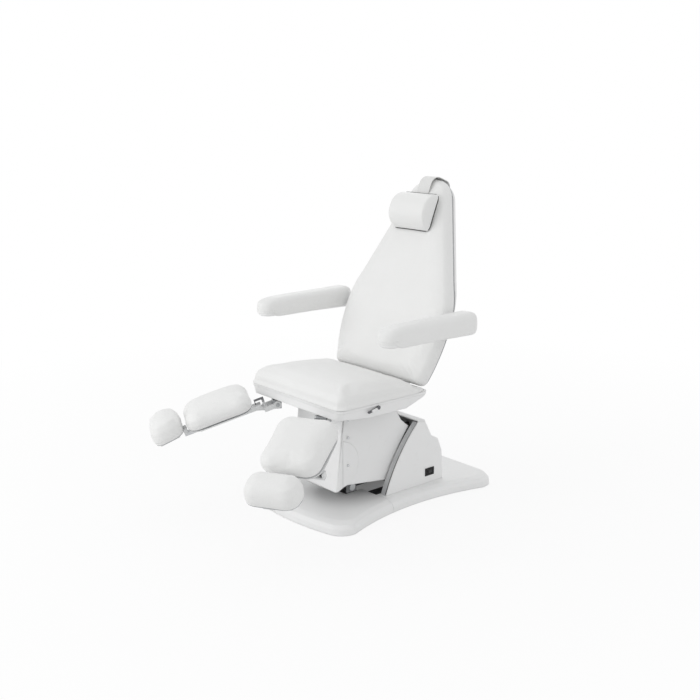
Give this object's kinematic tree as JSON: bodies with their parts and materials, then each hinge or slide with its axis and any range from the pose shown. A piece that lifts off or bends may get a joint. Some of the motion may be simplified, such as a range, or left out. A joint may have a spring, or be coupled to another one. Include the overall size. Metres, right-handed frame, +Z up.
{
  "type": "podiatry chair",
  "caption": "Powered treatment chair with a lifting column, reclining back, fold-up armrests, head cushion and separate swinging leg rests with sliding, tilting foot cushions.",
  "frame": {"origin": "on the floor, at the middle of the steel base frame's underside, in the chair's symmetry plane", "axes": "+Z up; -Y the way the person in the chair faces; +X towards that person's left"},
  "size_m": [0.9754, 1.3956, 1.3486],
  "materials": {
    "white_moulding": "satin white moulded plastic",
    "white_vinyl": "soft white coated upholstery",
    "white_steel": "white powder coat",
    "grey_steel": "grey powder coat",
    "bright_steel": "bright zinc plate",
    "dark_steel": "dark grey enamel",
    "black_plastic": "black",
    "grey_plastic": "light grey",
    "white_strap": "woven strap"
  },
  "bodies": {
    "base": {"base_frame": "dark_steel", "column_plate_left": "dark_steel", "column_plate_right": "dark_steel", "lift_shafts": "bright_steel", "actuator_bracket": "dark_steel", "plinth_front": "white_moulding", "plinth_rear": "white_moulding", "housing_shell": "white_moulding", "housing_trim_left": "grey_plastic", "housing_trim_right": "grey_plastic", "switch_panel": "black_plastic", "control_box": "black_plastic"},
    "switch": {"rocker_switch": "black_plastic"},
    "lift_arm": {"main_arm": "white_steel"},
    "stabiliser": {"stabiliser_arm": "white_steel"},
    "lift_motor": {"lift_actuator_body": "dark_steel"},
    "lift_rod": {"lift_actuator_rod": "bright_steel"},
    "carrier": {"carrier_plate_left": "white_steel", "carrier_plate_right": "white_steel", "carrier_tubes": "white_steel", "carrier_shafts": "bright_steel", "carrier_cover": "white_moulding", "carrier_cover_screws": "bright_steel", "tilt_pin": "bright_steel"},
    "tilt_motor": {"tilt_actuator_body": "dark_steel"},
    "tilt_rod": {"tilt_actuator_rod": "bright_steel"},
    "seat": {"seat_frame": "white_steel", "seat_pan": "white_moulding", "seat_cushion": "white_vinyl", "back_hinge_pins": "bright_steel"},
    "seat_lever": {"seat_side_lever": "bright_steel"},
    "back_motor": {"back_actuator_body": "dark_steel"},
    "back_rod": {"back_actuator_rod": "bright_steel"},
    "back": {"back_frame": "white_steel", "back_shell": "white_moulding", "back_cushion": "white_vinyl", "head_strap": "white_strap", "armrest_collars": "grey_plastic"},
    "head": {"head_cushion": "white_vinyl"},
    "arm_left": {"armrest_shell_left": "white_moulding", "armrest_pad_left": "white_vinyl"},
    "arm_right": {"armrest_shell_right": "white_moulding", "armrest_pad_right": "white_vinyl"},
    "hub_left": {"leg_hub_left": "grey_steel"},
    "leg_left": {"leg_arm_left": "white_steel", "calf_tray_left": "white_steel", "calf_cushion_left": "white_vinyl"},
    "release_left": {"leg_release_left": "grey_steel"},
    "slide_left": {"foot_slide_left": "bright_steel"},
    "foot_left": {"foot_bracket_left": "white_steel", "foot_cushion_left": "white_vinyl"},
    "hub_right": {"leg_hub_right": "grey_steel"},
    "leg_right": {"leg_arm_right": "white_steel", "calf_tray_right": "white_steel", "calf_cushion_right": "white_vinyl"},
    "release_right": {"leg_release_right": "grey_steel"},
    "slide_right": {"foot_slide_right": "bright_steel"},
    "foot_right": {"foot_bracket_right": "white_steel", "foot_cushion_right": "white_vinyl"}
  },
  "joints": [
    {"name": "lift", "type": "hinge", "parent": "base", "child": "lift_arm", "pos_m": [0, 0.1, 0.287], "axis": [-1, 0, 0], "range_deg": [0, 50]},
    {"name": "stabiliser_turn", "type": "hinge", "parent": "base", "child": "stabiliser", "pos_m": [0, 0.1, 0.227], "axis": [-1, 0, 0], "range_deg": [0, 50]},
    {"name": "carrier_turn", "type": "hinge", "parent": "lift_arm", "child": "carrier", "pos_m": [0, -0.20147, 0.15278], "axis": [-1, 0, 0], "range_deg": [-50, 0]},
    {"name": "lift_motor_turn", "type": "hinge", "parent": "base", "child": "lift_motor", "pos_m": [0, -0.145, 0.08], "axis": [-1, 0, 0], "range_deg": [-7.84, 0]},
    {"name": "lift_rod_slide", "type": "slide", "parent": "lift_motor", "child": "lift_rod", "axis": [0, 0.7214, 0.6926], "range_m": [0, 0.03615]},
    {"name": "seat_tilt", "type": "hinge", "parent": "carrier", "child": "seat", "pos_m": [0, -0.015, 0.41], "axis": [-1, 0, 0], "range_deg": [0, 15]},
    {"name": "tilt_motor_turn", "type": "hinge", "parent": "carrier", "child": "tilt_motor", "pos_m": [0, -0.262, 0.2], "axis": [-1, 0, 0], "range_deg": [0, 3.66]},
    {"name": "tilt_rod_slide", "type": "slide", "parent": "tilt_motor", "child": "tilt_rod", "axis": [0, 0, 1], "range_m": [0, 0.0645]},
    {"name": "back_recline", "type": "hinge", "parent": "seat", "child": "back", "pos_m": [0, 0.06174, 0.48375], "axis": [-1, 0, 0], "range_deg": [-5, 60]},
    {"name": "back_motor_turn", "type": "hinge", "parent": "seat", "child": "back_motor", "pos_m": [0, -0.203, 0.46], "axis": [-1, 0, 0], "range_deg": [-0.12, 1.45]},
    {"name": "back_rod_slide", "type": "slide", "parent": "back_motor", "child": "back_rod", "axis": [0, 0.9986, -0.0529], "range_m": [-0.0445, 0.00371]},
    {"name": "headrest_height", "type": "slide", "parent": "back", "child": "head", "axis": [0, 0.3746, 0.9272], "range_m": [-0.12, 0.03]},
    {"name": "armrest_fold_left", "type": "hinge", "parent": "back", "child": "arm_left", "pos_m": [0, 0.18268, 0.76708], "axis": [-1, 0, 0], "range_deg": [0, 65]},
    {"name": "armrest_fold_right", "type": "hinge", "parent": "back", "child": "arm_right", "pos_m": [0, 0.18268, 0.76708], "axis": [-1, 0, 0], "range_deg": [0, 65]},
    {"name": "seat_lever_turn", "type": "hinge", "parent": "seat", "child": "seat_lever", "pos_m": [0, -0.231, 0.491], "axis": [-1, 0, 0], "range_deg": [0, 25]},
    {"name": "rocker_tilt", "type": "hinge", "parent": "base", "child": "switch", "pos_m": [0.19067, 0.168, 0.098], "axis": [0, 1, 0], "range_deg": [-8, 8]},
    {"name": "leg_swing_left", "type": "hinge", "parent": "seat", "child": "hub_left", "pos_m": [0.152, -0.397, 0.44], "axis": [0, 0, 1], "range_deg": [-29, 6]},
    {"name": "leg_drop_left", "type": "hinge", "parent": "hub_left", "child": "leg_left", "pos_m": [0.152, -0.397, 0.44], "axis": [0.866, 0.5, 0], "range_deg": [-24, 16]},
    {"name": "leg_release_left", "type": "hinge", "parent": "leg_left", "child": "release_left", "pos_m": [0.18216, -0.44924, 0.45255], "axis": [-0.866, -0.5, 0], "range_deg": [0, 12]},
    {"name": "foot_reach_left", "type": "slide", "parent": "leg_left", "child": "slide_left", "axis": [0.4568, -0.7912, -0.4067], "range_m": [-0.04, 0.05]},
    {"name": "foot_tilt_left", "type": "hinge", "parent": "slide_left", "child": "foot_left", "pos_m": [0.35867, -0.75497, 0.28662], "axis": [-0.866, -0.5, 0], "range_deg": [-50, 12]},
    {"name": "leg_swing_right", "type": "hinge", "parent": "seat", "child": "hub_right", "pos_m": [-0.152, -0.397, 0.44], "axis": [0, 0, 1], "range_deg": [-8, 27]},
    {"name": "leg_drop_right", "type": "hinge", "parent": "hub_right", "child": "leg_right", "pos_m": [-0.152, -0.397, 0.44], "axis": [0.8829, -0.4695, 0], "range_deg": [-18, 22]},
    {"name": "leg_release_right", "type": "hinge", "parent": "leg_right", "child": "release_right", "pos_m": [-0.17955, -0.44881, 0.45879], "axis": [-0.8829, 0.4695, 0], "range_deg": [0, 12]},
    {"name": "foot_reach_right", "type": "slide", "parent": "leg_right", "child": "slide_right", "axis": [-0.4465, -0.8397, -0.309], "range_m": [0, 0.09]},
    {"name": "foot_tilt_right", "type": "hinge", "parent": "slide_right", "child": "foot_right", "pos_m": [-0.3302, -0.73214, 0.34611], "axis": [-0.8829, 0.4695, 0], "range_deg": [-32, 8]}
  ],
  "couplings": [
    {"joint": "stabiliser_turn", "follows": "lift", "ratio": 1},
    {"joint": "carrier_turn", "follows": "lift", "ratio": -1},
    {"joint": "lift_motor_turn", "follows": "lift", "ratio": -0.15224},
    {"joint": "lift_rod_slide", "follows": "lift", "m_per_rad": 0.040616},
    {"joint": "tilt_motor_turn", "follows": "seat_tilt", "ratio": 0.2366},
    {"joint": "tilt_rod_slide", "follows": "seat_tilt", "m_per_rad": 0.24155},
    {"joint": "back_motor_turn", "follows": "back_recline", "ratio": 0.023459},
    {"joint": "back_rod_slide", "follows": "back_recline", "m_per_rad": -0.041659}
  ]
}
